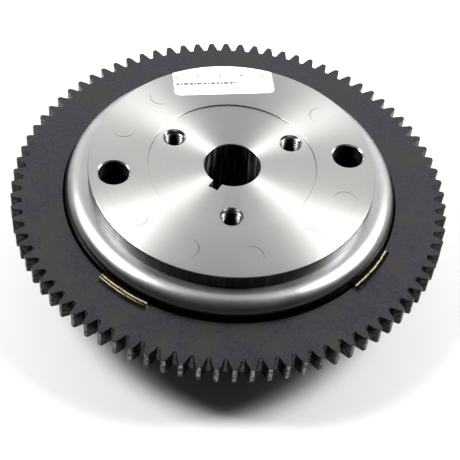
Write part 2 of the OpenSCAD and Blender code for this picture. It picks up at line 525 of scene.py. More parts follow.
@dataclass(frozen=True)
class Surface:
    """Start of every finish: a named material with a Principled shader and object coordinates."""

    name: str

    def start(self) -> tuple[bpy.types.Material, bpy.types.NodeTree, bpy.types.Node, bpy.types.NodeSocket]:
        """Makes the material.

        Returns:
            The material, its tree, its Principled shader and the object coordinates.
        """
        material = bpy.data.materials.new(self.name)
        material.use_nodes = True
        tree = material.node_tree
        tree.nodes.clear()
        output = add_node(tree, "ShaderNodeOutputMaterial")
        shader = add_node(tree, "ShaderNodeBsdfPrincipled")
        tree.links.new(shader.outputs[0], output.inputs["Surface"])
        coords = add_node(tree, "ShaderNodeTexCoord").outputs["Object"]
        return material, tree, shader, coords

    def from_axis(
        self, tree: bpy.types.NodeTree, coords: bpy.types.NodeSocket
    ) -> tuple[bpy.types.NodeSocket, bpy.types.NodeSocket]:
        """Reads how each point lies to the axis.

        Args:
            tree: The material's tree.
            coords: The object coordinates.

        Returns:
            The arm from the axis to the point, and that arm's length in metres.
        """
        arm = add_node(tree, "ShaderNodeVectorMath", {"operation": "MULTIPLY"}, {
            0: coords, 1: (1, 1, 0),
        }).outputs[0]
        length = add_node(tree, "ShaderNodeVectorMath", {"operation": "LENGTH"}, {0: arm})
        return arm, length.outputs["Value"]

    def wire(
        self, tree: bpy.types.NodeTree, shader: bpy.types.Node, metallic: float,
        sources: dict[str, bpy.types.NodeSocket],
    ) -> None:
        """Sets how metallic a Principled shader is and links its inputs.

        Args:
            tree: The material's tree.
            shader: The shader.
            metallic: 1 for a metal, 0 for anything else.
            sources: What feeds each linked input, by the input's name.
        """
        shader.inputs["Metallic"].default_value = metallic
        for socket, source in sources.items():
            tree.links.new(source, shader.inputs[socket])

    def paint_wall_shade(
        self, tree: bpy.types.NodeTree, level: bpy.types.NodeSocket,
        walls: bpy.types.NodeSocket | tuple[float, float, float, float], span: tuple[float, float],
    ) -> bpy.types.NodeSocket:
        """Paints shade on upright walls: they get a darker colour of their own, as painted shade and painted
        dark reflection.

        Args:
            tree: The material's tree.
            level: Colour of the faces that look up or down.
            walls: The painted shade colour of the walls, as a socket or as linear RGBA.
            span: How far the normal is along Z where the walls' colour ends and where the level colour is full.

        Returns:
            The mixed colour.
        """
        normal = add_node(tree, "ShaderNodeNewGeometry").outputs["Normal"]
        parts = add_node(tree, "ShaderNodeSeparateXYZ", inputs={0: normal})
        steep = add_node(tree, "ShaderNodeMath", {"operation": "ABSOLUTE"}, {0: parts.outputs["Z"]})
        share = add_node(tree, "ShaderNodeMapRange", {"interpolation_type": "SMOOTHSTEP"}, {
            "Value": steep.outputs[0], "From Min": span[0], "From Max": span[1],
        })
        return add_node(tree, "ShaderNodeMix", {"data_type": "RGBA"}, {
            0: share.outputs[0], 6: walls, 7: level,
        }).outputs[2]


@dataclass(frozen=True)
class TurnedSteel(Surface):
    """Bare steel faced on a lathe: fine rings round the axis spread each light into bright fans; upright walls
    get painted shade and painted reflection streaks.
    """

    light: str = "#CBCBC9"
    dark: str = "#B9B9B6"
    # painted shade: colour of the upright walls, the bore and the hole walls
    upright: str = "#262626"
    # painted reflection: pale streaks laid over the painted wall shade
    painted_reflection_streak: str = "#8C8C8A"
    painted_streak_mm: float = 1.5
    painted_streak_reach_mm: float = 20.0
    # The tool's marks lie some 0.1 mm apart, too fine to show, so they are drawn this far apart.
    ring_mm: float = 0.9
    ring_spread: float = 0.05
    cloud_mm: float = 28.0
    bump_mm: float = 0.004
    roughness: float = 0.36
    anisotropy: float = 0.85
    span: tuple[float, float] = (0.35, 0.8)

    def make(self) -> bpy.types.Material:
        """Builds the material, whose turning rings come from the distance to the axis.

        Returns:
            The finished material.
        """
        material, tree, shader, coords = self.start()
        arm, distance = self.from_axis(tree, coords)
        height = add_node(tree, "ShaderNodeSeparateXYZ", inputs={0: coords})
        along = add_node(tree, "ShaderNodeMath", {"operation": "ADD"}, {0: distance, 1: height.outputs["Z"]})
        rings = add_node(tree, "ShaderNodeTexNoise", {"noise_dimensions": "1D"}, {
            "W": along.outputs[0], "Scale": 1 / (self.ring_mm * MM), "Detail": 2.0, "Roughness": 0.6,
        }).outputs[0]
        clouds = add_node(tree, "ShaderNodeTexNoise", inputs={
            "Vector": coords, "Scale": 1 / (self.cloud_mm * MM), "Detail": 3.0, "Roughness": 0.55,
        })
        half = add_node(tree, "ShaderNodeMath", {"operation": "MULTIPLY"}, {0: rings, 1: 0.5})
        tone = add_node(tree, "ShaderNodeMath", {"operation": "MULTIPLY_ADD", "use_clamp": True}, {
            0: clouds.outputs[0], 1: 0.5, 2: half.outputs[0],
        })
        level = add_node(tree, "ShaderNodeMix", {"data_type": "RGBA"}, {
            0: tone.outputs[0], 6: linear(self.dark), 7: linear(self.light),
        })
        rough = add_node(tree, "ShaderNodeMapRange", inputs={
            "Value": rings, "To Min": self.roughness - self.ring_spread,
            "To Max": self.roughness + self.ring_spread,
        })
        bump = add_node(tree, "ShaderNodeBump", inputs={
            "Height": rings, "Strength": 0.35, "Distance": self.bump_mm * MM,
        })
        # Painted reflection: pale streaks over the painted shade of the upright walls, full in the bore and
        # faint further out.
        painted_streak_noise = add_node(tree, "ShaderNodeTexNoise", inputs={
            "Vector": arm, "Scale": 1 / (self.painted_streak_mm * MM), "Detail": 2.0,
        })
        clear = add_node(tree, "ShaderNodeMapRange", {"interpolation_type": "SMOOTHSTEP"}, {
            "Value": painted_streak_noise.outputs[0], "From Min": 0.5, "From Max": 0.7,
        })
        in_bore = add_node(tree, "ShaderNodeMapRange", inputs={
            "Value": distance, "From Min": self.painted_streak_reach_mm * MM,
            "From Max": 2 * self.painted_streak_reach_mm * MM, "To Min": 1.0, "To Max": 0.12,
        })
        share = add_node(tree, "ShaderNodeMath", {"operation": "MULTIPLY"}, {
            0: clear.outputs[0], 1: in_bore.outputs[0],
        })
        walls = add_node(tree, "ShaderNodeMix", {"data_type": "RGBA"}, {
            0: share.outputs[0], 6: linear(self.upright), 7: linear(self.painted_reflection_streak),
        })
        # The direction of cut at each point; a quarter turn lays the sheen across the rings.
        around = add_node(tree, "ShaderNodeVectorMath", {"operation": "CROSS_PRODUCT"}, {0: (0, 0, 1), 1: arm})
        shader.inputs["Anisotropic"].default_value = self.anisotropy
        shader.inputs["Anisotropic Rotation"].default_value = 0.25
        self.wire(tree, shader, 1.0, {
            "Base Color": self.paint_wall_shade(tree, level.outputs[2], walls.outputs[2], self.span),
            "Roughness": rough.outputs[0], "Normal": bump.outputs[0], "Tangent": around.outputs[0],
        })
        return material


@dataclass(frozen=True)
class Mottled(Surface):
    """A finish with a fine grain, a second tint in cloudy patches and, if asked, painted shade on upright walls
    and worn edges.
    """

    light: str = "#B9B8B4"
    dark: str = "#9C9B98"
    tint: str = "#9A8F7C"
    tint_share: float = 0.3
    # painted shade: colour given to upright faces; empty leaves them alone
    upright: str = ""
    span: tuple[float, float] = (0.25, 0.85)
    worn: str = ""
    patch_mm: float = 14.0
    # Real grain is finer than a tenth of a millimetre and wouldn't show, so it is drawn this coarse.
    grain_mm: float = 0.8
    bump_mm: float = 0.02
    roughness: float = 0.3
    rough_spread: float = 0.08
    metallic: float = 1.0

    def make(self) -> bpy.types.Material:
        """Builds the material from two noises, one for clouds of tone and one for grain.

        Returns:
            The finished material.
        """
        material, tree, shader, coords = self.start()
        clouds = add_node(tree, "ShaderNodeTexNoise", inputs={
            "Vector": coords, "Scale": 1 / (self.patch_mm * MM), "Detail": 4.0, "Roughness": 0.6,
        })
        grain = add_node(tree, "ShaderNodeTexNoise", inputs={
            "Vector": coords, "Scale": 1 / (self.grain_mm * MM), "Detail": 3.0, "Roughness": 0.65,
        })
        tone = add_node(tree, "ShaderNodeMapRange", inputs={
            "Value": grain.outputs[0], "From Min": 0.3, "From Max": 0.7,
        })
        base = add_node(tree, "ShaderNodeMix", {"data_type": "RGBA"}, {
            0: tone.outputs[0], 6: linear(self.dark), 7: linear(self.light),
        })
        patch = add_node(tree, "ShaderNodeMapRange", {"interpolation_type": "SMOOTHSTEP"}, {
            "Value": clouds.outputs[0], "From Min": 0.45, "From Max": 0.65, "To Max": self.tint_share,
        })
        colour = add_node(tree, "ShaderNodeMix", {"data_type": "RGBA"}, {
            0: patch.outputs[0], 6: base.outputs[2], 7: linear(self.tint),
        })
        rough = add_node(tree, "ShaderNodeMapRange", inputs={
            "Value": clouds.outputs[0], "From Min": 0.3, "From Max": 0.7,
            "To Min": self.roughness - self.rough_spread, "To Max": self.roughness + self.rough_spread,
        })
        bump = add_node(tree, "ShaderNodeBump", inputs={
            "Height": grain.outputs[0], "Strength": 0.5, "Distance": self.bump_mm * MM,
        })
        shade = colour.outputs[2]
        # Painted shade: upright faces take the upright colour.
        if self.upright:
            shade = self.paint_wall_shade(tree, shade, linear(self.upright), self.span)
        if self.worn:
            edges = add_node(tree, "ShaderNodeAttribute", {"attribute_name": "worn"}).outputs["Fac"]
            rubbed = add_node(tree, "ShaderNodeMapRange", {"interpolation_type": "SMOOTHSTEP"}, {
                "Value": grain.outputs[0], "From Min": 0.4, "From Max": 0.62, "To Max": edges,
            })
            shade = add_node(tree, "ShaderNodeMix", {"data_type": "RGBA"}, {
                0: rubbed.outputs[0], 6: shade, 7: linear(self.worn),
            }).outputs[2]
        self.wire(tree, shader, self.metallic, {
            "Base Color": shade, "Roughness": rough.outputs[0], "Normal": bump.outputs[0],
        })
        return material


@dataclass(frozen=True)
class WeldSteel(Surface):
    """Weld metal with a painted straw-tinted highlight along its crest and, in part, along its outer toe, and
    painted dark shade between them.
    """

    crest_r: float
    toe_r: float
    # painted highlight: colour of the crest and toe lines, straw tinted
    light: str = "#F6E7BC"
    # painted shade: dark reflection beside and between the highlight lines
    painted_shade_beside_crest: str = "#171412"
    crest_half_mm: float = 0.24
    toe_half_mm: float = 0.14
    wobble_mm: float = 0.7
    fleck_mm: float = 1.1
    stretch_mm: float = 4.0
    bump_mm: float = 0.06
    roughness: float = 0.28
    rough_spread: float = 0.08
    fade_mm: float = 0.25
    toe_from_x_mm: float = -48.0
    toe_full_x_mm: float = -62.0

    def line(
        self, tree: bpy.types.NodeTree, distance: bpy.types.NodeSocket, radius: float, half: float
    ) -> bpy.types.NodeSocket:
        """How much a point belongs to a line round the axis.

        Args:
            tree: The material's tree.
            distance: The point's distance from the axis, in metres.
            radius: The line's radius, in millimetres.
            half: Half of its width, in millimetres.

        Returns:
            1 on the line, 0 beside it.
        """
        offset = add_node(tree, "ShaderNodeMath", {"operation": "SUBTRACT"}, {0: distance, 1: radius * MM})
        away = add_node(tree, "ShaderNodeMath", {"operation": "ABSOLUTE"}, {0: offset.outputs[0]})
        return add_node(tree, "ShaderNodeMapRange", {"interpolation_type": "SMOOTHSTEP"}, {
            "Value": away.outputs[0], "From Min": half * MM, "From Max": (half + self.fade_mm) * MM,
            "To Min": 1.0, "To Max": 0.0,
        }).outputs[0]

    def make(self) -> bpy.types.Material:
        """Builds the material from the distance to the axis and two noises.

        Returns:
            The finished material.
        """
        material, tree, shader, coords = self.start()
        reach = self.from_axis(tree, coords)[1]
        flecks = add_node(tree, "ShaderNodeTexNoise", inputs={
            "Vector": coords, "Scale": 1 / (self.fleck_mm * MM), "Detail": 2.0, "Roughness": 0.6,
        })
        stretches = add_node(tree, "ShaderNodeTexNoise", inputs={
            "Vector": coords, "Scale": 1 / (self.stretch_mm * MM), "Detail": 3.0,
        })
        wobble = add_node(tree, "ShaderNodeMath", {"operation": "MULTIPLY_ADD"}, {
            0: stretches.outputs[0], 1: self.wobble_mm * MM, 2: reach,
        })
        distance = add_node(tree, "ShaderNodeMath", {"operation": "SUBTRACT"}, {
            0: wobble.outputs[0], 1: self.wobble_mm * MM / 2,
        }).outputs[0]
        # The painted highlight along the toe is shown only on the bead that lies towards -X.
        side = add_node(tree, "ShaderNodeSeparateXYZ", inputs={0: coords})
        toe_highlight_side = add_node(tree, "ShaderNodeMapRange", {"interpolation_type": "SMOOTHSTEP"}, {
            "Value": side.outputs["X"], "From Min": self.toe_from_x_mm * MM,
            "From Max": self.toe_full_x_mm * MM,
        })
        toe = add_node(tree, "ShaderNodeMath", {"operation": "MULTIPLY"}, {
            0: self.line(tree, distance, self.toe_r, self.toe_half_mm), 1: toe_highlight_side.outputs[0],
        })
        # Painted highlight: bright lines along the crest and the toe.
        highlight_lines = add_node(tree, "ShaderNodeMath", {"operation": "MAXIMUM"}, {
            0: self.line(tree, distance, self.crest_r, self.crest_half_mm), 1: toe.outputs[0],
        })
        # flecks break up the painted highlight lines
        clean = add_node(tree, "ShaderNodeMapRange", {"interpolation_type": "SMOOTHSTEP"}, {
            "Value": flecks.outputs[0], "From Min": 0.3, "From Max": 0.5, "To Min": 0.25, "To Max": 1.0,
        })
        share = add_node(tree, "ShaderNodeMath", {"operation": "MULTIPLY"}, {
            0: highlight_lines.outputs[0], 1: clean.outputs[0],
        })
        # painted shade off the lines, painted highlight on them
        colour = add_node(tree, "ShaderNodeMix", {"data_type": "RGBA"}, {
            0: share.outputs[0], 6: linear(self.painted_shade_beside_crest), 7: linear(self.light),
        })
        rough = add_node(tree, "ShaderNodeMapRange", inputs={
            "Value": flecks.outputs[0], "To Min": self.roughness - self.rough_spread,
            "To Max": self.roughness + self.rough_spread,
        })
        bump = add_node(tree, "ShaderNodeBump", inputs={
            "Height": flecks.outputs[0], "Strength": 0.5, "Distance": self.bump_mm * MM,
        })
        self.wire(tree, shader, 1.0, {
            "Base Color": colour.outputs[2], "Roughness": rough.outputs[0], "Normal": bump.outputs[0],
        })
        return material


# ---------------------------------------------------------------- sub-assemblies


@dataclass
class Hub:
    """The forged hub: machined flange on the outside, boss with the tapered bore inside."""

    finish: bpy.types.Material
    thread_finish: bpy.types.Material
    face_z: float = top_of("hub")
    end_z: float = bottom_of("hub")
    flange_r: float = radius_of("hub")
    flange_t: float = 8.0
    recess_r: float = 41.2
    recess_d: float = 0.6
    boss_r: float = 40.0
    boss_step_z: float = 38.0
    nose_r: float = 27.0
    nose_top_z: float = 31.0
    bore_r: float = 13.75
    taper_r: float = mount_size("crank_taper", "r_mm")
    pilot_r: float = mount_size("pilot_bore", "r_mm")
    pilot_top_z: float = 18.0
    bore_chamfer: float = 0.4
    mouth_ease: float = 0.05
    key_w: float = 5.0
    key_floor_r: float = 18.45
    key_angle: float = 230.6
    places: int = 12
    window_every: int = 6
    window_r: float = mount_size("windows", "hole_r_mm")
    window_break: float = 0.6
    circle_r: float = mount_size("windows", "pcd_mm") / 2
    puller_circle_r: float = mount_size("puller_holes", "pcd_mm") / 2
    puller_angle: float = 20.6
    thread_r: float = 5.0
    thread_pitch: float = 1.5
    thread_top: float = 1.3
    thread_bite: float = 0.03
    puller_depth: float = 16.0
    puller_flare: float = 0.7
    puller_sink: float = 0.9
    rivet_r: float = 4.5
    rivet_face_r: float = 5.75
    rivet_sink: float = 3.0

    @property
    def recess_z(self) -> float:
        """Height of the recess's floor."""
        return self.face_z - self.recess_d

    def place_angle(self, place: int) -> float:
        """Angle of a rivet's or a window's place on their circle, in radians."""
        return math.radians(360 / self.places * place)

    def section(self) -> list[Point]:
        """Draws the hub's half section, its edges broken as on the lathe.

        Returns:
            The closed outline as (radius, height).
        """
        plate_z = self.face_z - self.flange_t
        return rounded_loop([
            (self.bore_r + self.bore_chamfer, self.recess_z, 0.15), (self.recess_r, self.recess_z, 0.1),
            (self.recess_r, self.face_z, 0.35), (self.flange_r, self.face_z, 0.5),
            (self.flange_r, plate_z, 0.2), (self.boss_r, plate_z, 0),
            (self.boss_r, self.boss_step_z, 1.0), (self.nose_r, self.nose_top_z, 3.0),
            (self.nose_r, self.end_z, 1.0), (self.pilot_r + 1, self.end_z, 0.2),
            (self.pilot_r, self.end_z + 1, 0.2), (self.pilot_r, self.pilot_top_z, 0.2),
            (self.taper_r, self.pilot_top_z, 0.3),
            (self.bore_r + self.mouth_ease, self.recess_z - self.bore_chamfer, 0.15),
        ])

    def hole(self, radius: float, bottom: float, top: float, flare: float, sink: float) -> bpy.types.Mesh:
        """A round cutting tool with a flared mouth.

        Args:
            radius: The hole's radius.
            bottom: Height of its lower end.
            top: Height of the face that it opens on.
            flare: How much wider it is at that face.
            sink: Depth of the flare.

        Returns:
            The tool's closed mesh, centred on the axis.
        """
        past = 0.2
        return revolve("hole", [
            (0, bottom), (radius, bottom), (radius, top - sink), (radius + flare, top),
            (radius + flare + past * flare / sink, top + past), (0, top + past),
        ], HOLE_SEGMENTS)

    def tools(self) -> list[bpy.types.Mesh]:
        """Shapes the keyway and every hole.

        Returns:
            The cutting tools, in place.
        """
        below = self.face_z - self.flange_t - PAST
        window = self.hole(self.window_r, below, self.face_z, self.window_break, self.window_break)
        flare = self.rivet_face_r - self.rivet_r
        rivet = self.hole(self.rivet_r, below, self.face_z, flare, self.rivet_sink)
        puller = self.hole(
            self.thread_r, self.recess_z - self.puller_depth, self.recess_z,
            self.puller_flare, self.puller_sink,
        )
        keyway = block(
            "keyway", Vector((0, -self.key_w / 2, self.end_z - 2 * PAST)),
            Vector((self.key_floor_r, self.key_w / 2, self.face_z + 2 * PAST)),
        )
        made = [placed(keyway, 0, math.radians(self.key_angle))]
        made += [placed(window, self.circle_r, k * math.pi) for k in range(2)]
        made += [
            placed(rivet, self.circle_r, self.place_angle(k))
            for k in range(self.places) if k % self.window_every
        ]
        made += [
            placed(puller, self.puller_circle_r, math.radians(self.puller_angle + 120 * k)) for k in range(3)
        ]
        return made

    def threads(self) -> bpy.types.Mesh:
        """Winds the three puller threads, each a ridge that follows a helix down its hole.

        Returns:
            Their mesh.
        """
        tree, given, result = new_tree("puller_threads", {
            "Geometry": "NodeSocketGeometry", "Turns": "NodeSocketFloat", "Thread Radius": "NodeSocketFloat",
            "Pitch": "NodeSocketFloat", "Bottom": "NodeSocketFloat", "Finish": "NodeSocketMaterial",
        })
        length = add_node(tree, "ShaderNodeMath", {"operation": "MULTIPLY"}, {
            0: given.outputs["Turns"], 1: given.outputs["Pitch"],
        })
        helix = add_node(tree, "GeometryNodeCurveSpiral", inputs={
            "Resolution": 40, "Rotations": given.outputs["Turns"], "Height": length.outputs[0],
            "Start Radius": given.outputs["Thread Radius"], "End Radius": given.outputs["Thread Radius"],
        })
        upright = add_node(tree, "GeometryNodeSetCurveNormal", {"mode": "Z_UP"}, {"Curve": helix.outputs[0]})
        # A metric thread's shares of its pitch: how deep it is, and half its width at the root and the crest.
        depth, flank, crest = (part * self.thread_pitch for part in (0.54, 0.46, 0.07))
        ridge = add_node(tree, "GeometryNodeCurvePrimitiveQuadrilateral", {"mode": "POINTS"}, {
            "Point 1": (-self.thread_bite, -flank, 0), "Point 2": (depth, -crest, 0),
            "Point 3": (depth, crest, 0), "Point 4": (-self.thread_bite, flank, 0),
        })
        swept = add_node(tree, "GeometryNodeCurveToMesh", inputs={
            "Curve": upright.outputs[0], "Profile Curve": ridge.outputs[0], "Fill Caps": True,
        })
        lift_and_send(tree, given, result, swept.outputs[0], given.outputs["Bottom"])
        turns = math.floor((self.puller_depth - self.thread_top) / self.thread_pitch)
        one = through_tree(bpy.data.meshes.new("seed"), tree, {
            "Turns": float(turns), "Thread Radius": self.thread_r, "Pitch": self.thread_pitch,
            "Bottom": self.recess_z - self.thread_top - turns * self.thread_pitch, "Finish": self.thread_finish,
        })
        return through_tree(one, copies_round_axis(), {
            "Places": 3, "Gap": NO_GAP, "Step": FULL_TURN / 3, "First Angle": math.radians(self.puller_angle),
            "Radius": self.puller_circle_r, "Finish": self.thread_finish,
        })

    def build(self) -> None:
        """Makes the hub and its puller threads."""
        body = boolean(revolve("hub", self.section(), RING_SEGMENTS), self.tools(), Cut.TAKE_AWAY)
        piece("machined_hub", body, Slot.TURNED, self.finish, ("hub",))
        piece("puller_threads", self.threads(), Slot.TURNED, self.thread_finish)


@dataclass
class RotorCup:
    """The drawn cup: end plate, polished shoulder, skirt and the raised trigger lug."""

    finish: bpy.types.Material
    hub: Hub
    skirt_r: float = 82.3
    shell_r: float = 81.5
    wall_t: float = 6.0
    plate_t: float = 5.5
    shoulder_r: float = 8.5
    inner_corner_r: float = 3.0
    plate_z: float = top_of("rotor_shell")
    ring_bottom_z: float = bottom_of("ring_gear")
    lug_z: float = 9.0
    lug_h: float = 12.0
    lug_rise: float = 1.5
    lug_arc: float = 28.0
    lug_angle: float = 120.0
    segments: int = 288

    def section(self) -> list[Point]:
        """Draws the cup's half section.

        Returns:
            The closed outline as (radius, height).
        """
        inner = self.shell_r - self.wall_t
        under = self.plate_z - self.plate_t
        return rounded_loop([
            (self.skirt_r, 0, 0.9), (self.skirt_r, self.ring_bottom_z, 0.2),
            (self.shell_r, self.ring_bottom_z, 0), (self.shell_r, self.plate_z, self.shoulder_r),
            (self.hub.boss_r, self.plate_z, 0), (self.hub.boss_r, under, 0.3),
            (inner, under, self.inner_corner_r), (inner, 0, 0.9),
        ])

    def lug(self) -> bpy.types.Mesh:
        """Shapes the raised bar that the ignition pickup senses.

        Returns:
            Its closed mesh, in place.
        """
        inside, outside = self.skirt_r - 1, self.skirt_r + self.lug_rise
        loop = rounded_loop([
            (inside, self.lug_z, 0), (outside, self.lug_z, 0.4),
            (outside, self.lug_z + self.lug_h, 0.4), (inside, self.lug_z + self.lug_h, 0),
        ])
        middle, half = math.radians(self.lug_angle), math.radians(self.lug_arc / 2)
        return sweep("lug", loop, middle - half, middle + half, 24)

    def build(self) -> None:
        """Makes the cup."""
        whole = boolean(revolve("cup", self.section(), self.segments), [self.lug()], Cut.ADD)
        low, high = self.plate_z - self.plate_t - PAST, self.plate_z + PAST
        tools = []
        for place in range(self.hub.places):
            radius = self.hub.rivet_r if place % self.hub.window_every else self.hub.window_r
            tool = revolve("hole", [(0, low), (radius, low), (radius, high), (0, high)], HOLE_SEGMENTS)
            tools.append(placed(tool, self.hub.circle_r, self.hub.place_angle(place)))
        piece("drawn_cup", boolean(whole, tools, Cut.TAKE_AWAY), Slot.DRAWN, self.finish, ("rotor_shell",))


@dataclass
class Rivets:
    """The ten rivets, turned flush with the flange outside and domed inside."""

    finish: bpy.types.Material
    hub: Hub
    plate_t: float = 5.5
    head_r: float = 7.5
    head_h: float = 3.0
    squeeze: float = 0.05  # how far each rivet is pressed into its hole's wall
    set_back: float = 0.005  # keeps the turned end from lying in the flange's face
    lean: float = 0.3
    lean_angle: float = 275.0
    spin: float = 0.5
    seed: int = 4

    def build(self) -> None:
        """Makes one rivet, pushed aside in its countersink by the cut, so that its seam shows on one side."""
        under = self.hub.face_z - self.hub.flange_t - self.plate_t
        top, shank_r = self.hub.face_z - self.set_back, self.hub.rivet_r + self.squeeze
        dome = [
            (self.head_r * math.cos(a), under - self.head_h * math.sin(a))
            for a in (math.radians(k) for k in range(12, 90, 13))
        ]
        loop = [(0, top), (self.hub.rivet_face_r + self.squeeze, top)]
        loop += [(shank_r, top - self.hub.rivet_sink), (shank_r, under)]
        loop += [(self.head_r, under)] + dome + [(0, under - self.head_h)]
        one = revolve("rivet", loop, 64)
        one = placed(one, self.lean, math.radians(self.lean_angle))
        step = self.hub.place_angle(1)
        all_ten = through_tree(one, copies_round_axis(), {
            "Places": self.hub.places, "Gap": self.hub.window_every, "Step": step, "First Angle": step,
            "Radius": self.hub.circle_r, "Spin": self.spin, "Seed": self.seed, "Finish": self.finish,
        })
        piece("flush_rivets", all_ten, Slot.RIVET, self.finish, ("hub_rivets",))


@dataclass
class StarterGear:
    """The starter ring gear, with involute teeth and broken edges."""

    finish: bpy.types.Material
    teeth: int = 84
    module: float = mount_size("gear_teeth", "r_mm") * 2 / teeth
    bore_r: float = 81.5
    bottom_z: float = bottom_of("ring_gear")
    top_z: float = top_of("ring_gear")
    bevel: float = 1.2
    first_angle: float = 0.95
    tooth_share: float = 0.53
    profile_shift: float = 0.158
    pressure_angle: float = 20.0
    tip_round: float = 0.35
    root_round: float = 0.7
    edge_break: float = 0.18
    bore_break: float = 0.4
    worn_edge: float = 0.5
    worn_tip: float = 0.7
    worn_flank: float = 0.15

    def half_width(self, radius: float) -> float:
        """Measures half of a tooth's width at a radius.

        Args:
            radius: The distance from the axis.

        Returns:
            The half width as an angle, in radians.
        """
        pitch_r = self.teeth * self.module / 2
        slope = math.radians(self.pressure_angle)
        base_r = pitch_r * math.cos(slope)
        local = math.acos(min(1.0, base_r / radius))
        swing = (math.tan(slope) - slope) - (math.tan(local) - local)
        return math.pi / self.teeth * self.tooth_share + swing

    def flank(self) -> list[Point]:
        """Draws one side of a tooth from root to tip.

        Returns:
            Its points as (radius, angle from the tooth's middle).
        """
        tip_r = self.module * (self.teeth / 2 + 1 + self.profile_shift)
        root_r = self.module * (self.teeth / 2 - 1.25 + self.profile_shift)
        low, high = root_r + self.root_round, tip_r - self.tip_round
        side = [(root_r, math.pi / self.teeth)]
        for k in range(5):
            swing = math.radians(90 * k / 4)
            side.append((
                low - self.root_round * math.cos(swing),
                self.half_width(low) + self.root_round * (1 - math.sin(swing)) / root_r,
            ))
        side += [(low + (high - low) * k / 6, self.half_width(low + (high - low) * k / 6)) for k in range(1, 7)]
        for k in range(1, 4):
            swing = math.radians(90 * k / 3)
            side.append((
                high + self.tip_round * math.sin(swing),
                self.half_width(tip_r) - self.tip_round * (1 - math.cos(swing)) / tip_r,
            ))
        return side

    def outline(self) -> list[Vector]:
        """Draws one tooth pitch, from gap middle to gap middle.

        Returns:
            Its points as (x, y).
        """
        side = self.flank()
        turned = [(r, -a) for r, a in side] + [(r, a) for r, a in reversed(side)]
        return [Vector((r * math.cos(a), r * math.sin(a))) for r, a in turned]

    def inset(self, points: list[Vector]) -> list[Vector]:
        """Moves an outline inwards by the width of the broken edge.

        Args:
            points: The outline of one tooth pitch.

        Returns:
            As many points, moved.
        """
        step = FULL_TURN / self.teeth
        turn = Matrix.Rotation(step, 2)
        before = turn.inverted() @ points[-2]
        after = turn @ points[1]
        padded = [before] + points + [after]
        moved = []
        for k, here in enumerate(points):
            along = (padded[k + 2] - padded[k]).normalized()
            moved.append(here + Vector((-along.y, along.x)) * self.edge_break)
        return moved

    def pitch_mesh(self) -> bpy.types.Mesh:
        """Builds one tooth pitch of the ring, open where it meets its neighbours.

        Returns:
            Its mesh, whose faces carry how worn they are.
        """
        build = bmesh.new()
        worn = build.faces.layers.float.new("worn")
        outer = self.outline()
        inner = self.inset(outer)
        cut = self.edge_break
        half, steps = math.pi / self.teeth, 3
        arc = [(-half + 2 * half * k / steps) for k in range(steps + 1)]
        outside = [
            [build.verts.new((p.x, p.y, z)) for p in line]
            for line, z in (
                (inner, self.bottom_z), (outer, self.bottom_z + cut),
                (outer, self.top_z - cut), (inner, self.top_z),
            )
        ]
        inside = [
            [build.verts.new(polar(r, a, z)) for a in arc]
            for r, z in (
                (self.bore_r + self.bore_break, self.bottom_z), (self.bore_r, self.bottom_z + self.bore_break),
                (self.bore_r, self.top_z - self.bevel), (self.bore_r + self.bevel, self.top_z),
            )
        ]
        for level, lines in enumerate(zip(outside, outside[1:])):
            for k in range(len(outer) - 1):
                face = build.faces.new((lines[0][k], lines[0][k + 1], lines[1][k + 1], lines[1][k]))
                at_tip = outer[k].length > outer[len(outer) // 2].length - 0.1
                face[worn] = self.worn_edge if level != 1 else self.worn_tip if at_tip else self.worn_flank
        for lines in zip(inside, inside[1:]):
            for k in range(steps):
                build.faces.new((lines[1][k], lines[1][k + 1], lines[0][k + 1], lines[0][k]))
        build.faces.new(outside[3] + list(reversed(inside[3])))
        build.faces.new(list(reversed(outside[0])) + inside[0])
        return freed(build, "tooth_pitch")

    def build(self) -> None:
        """Makes the whole ring from copies of one pitch."""
        ring = through_tree(self.pitch_mesh(), copies_round_axis(), {
            "Places": self.teeth, "Gap": NO_GAP, "Step": FULL_TURN / self.teeth,
            "First Angle": math.radians(self.first_angle), "Finish": self.finish,
        })
        piece("starter_ring_gear", ring, Slot.OXIDE, self.finish, ("ring_gear",))


